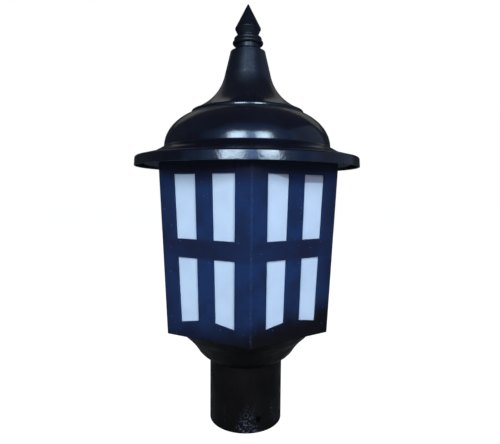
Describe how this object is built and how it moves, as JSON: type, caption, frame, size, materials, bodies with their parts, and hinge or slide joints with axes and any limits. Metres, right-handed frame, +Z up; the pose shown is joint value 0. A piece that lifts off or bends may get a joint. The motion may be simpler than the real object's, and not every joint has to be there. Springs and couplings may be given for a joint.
{
  "type": "gate light",
  "caption": "Pole-top gate lantern: tapered hexagonal cage with opal window panes, stepped round roof with a turned finial, and a bowl base whose collar slips over a pole.",
  "frame": {"origin": "centre of the collar's mouth, where the pole enters", "axes": "+Z up along the pole, towards the finial; -Y towards the cage corner that faces the camera"},
  "size_m": [0.212, 0.212, 0.4002],
  "materials": {
    "roof_paint": "gloss black paint",
    "cage_paint": "satin blue-black paint",
    "base_paint": "satin black paint",
    "opal": "milky opal acrylic",
    "white_paint": "white paint",
    "rubber": "matte",
    "zinc": "zinc plated",
    "black_steel": "black oxide",
    "brass": "plain",
    "porcelain": "glazed white",
    "bulb_plastic": "frosted white",
    "block_plastic": "plain",
    "wire_brown": "insulation",
    "wire_blue": "insulation",
    "wire_green": "insulation"
  },
  "bodies": {
    "lantern": {"base_casting": "base_paint", "cable_grommet": "rubber", "base_gasket": "rubber", "cage": "cage_paint", "holder_tray": "white_paint", "base_screws": "zinc", "roof_ring": "cage_paint", "roof_ring_screws": "zinc", "roof_bridge": "zinc", "bridge_screws": "zinc", "bridge_nut": "zinc", "lamp_holder": "porcelain", "holder_thread_shell": "brass", "holder_contact": "brass", "holder_screws": "zinc", "terminal_block": "block_plastic", "terminal_screws": "brass", "block_screws": "zinc", "live_wire": "wire_brown", "neutral_wire": "wire_blue", "earth_wire": "wire_green", "earth_tag": "brass", "earth_screw": "brass", "diffuser_panel_1": "opal", "diffuser_panel_2": "opal", "diffuser_panel_3": "opal", "diffuser_panel_4": "opal", "diffuser_panel_5": "opal", "diffuser_panel_6": "opal"},
    "canopy": {"canopy_dome": "roof_paint", "roof_gasket": "rubber", "spire_cone": "roof_paint", "finial_washer": "rubber"},
    "finial": {"finial": "roof_paint", "finial_stud": "zinc"},
    "bulb": {"bulb_contact": "brass", "bulb_cap": "zinc", "bulb_housing": "bulb_plastic", "bulb_globe": "bulb_plastic", "led_board": "white_paint"},
    "set_screw_1": {"set_screw_1": "black_steel"},
    "set_screw_2": {"set_screw_2": "black_steel"},
    "set_screw_3": {"set_screw_3": "black_steel"}
  },
  "joints": [
    {"name": "canopy_lift", "type": "slide", "parent": "lantern", "child": "canopy", "axis": [0, 0, 1], "range_m": [0, 0.15]},
    {"name": "finial_turn", "type": "hinge", "parent": "canopy", "child": "finial", "pos_m": [0, 0, 0.36], "axis": [0, 0, 1], "continuous": true},
    {"name": "bulb_turn", "type": "hinge", "parent": "lantern", "child": "bulb", "pos_m": [0, 0, 0.13], "axis": [0, 0, 1], "continuous": true},
    {"name": "set_screw_1_travel", "type": "slide", "parent": "lantern", "child": "set_screw_1", "axis": [-0.3007, 0.9537, 0], "range_m": [-0.004, 0.002]},
    {"name": "set_screw_2_travel", "type": "slide", "parent": "lantern", "child": "set_screw_2", "axis": [-0.6756, -0.7373, 0], "range_m": [-0.004, 0.002]},
    {"name": "set_screw_3_travel", "type": "slide", "parent": "lantern", "child": "set_screw_3", "axis": [0.9763, -0.2164, 0], "range_m": [-0.004, 0.002]}
  ]
}
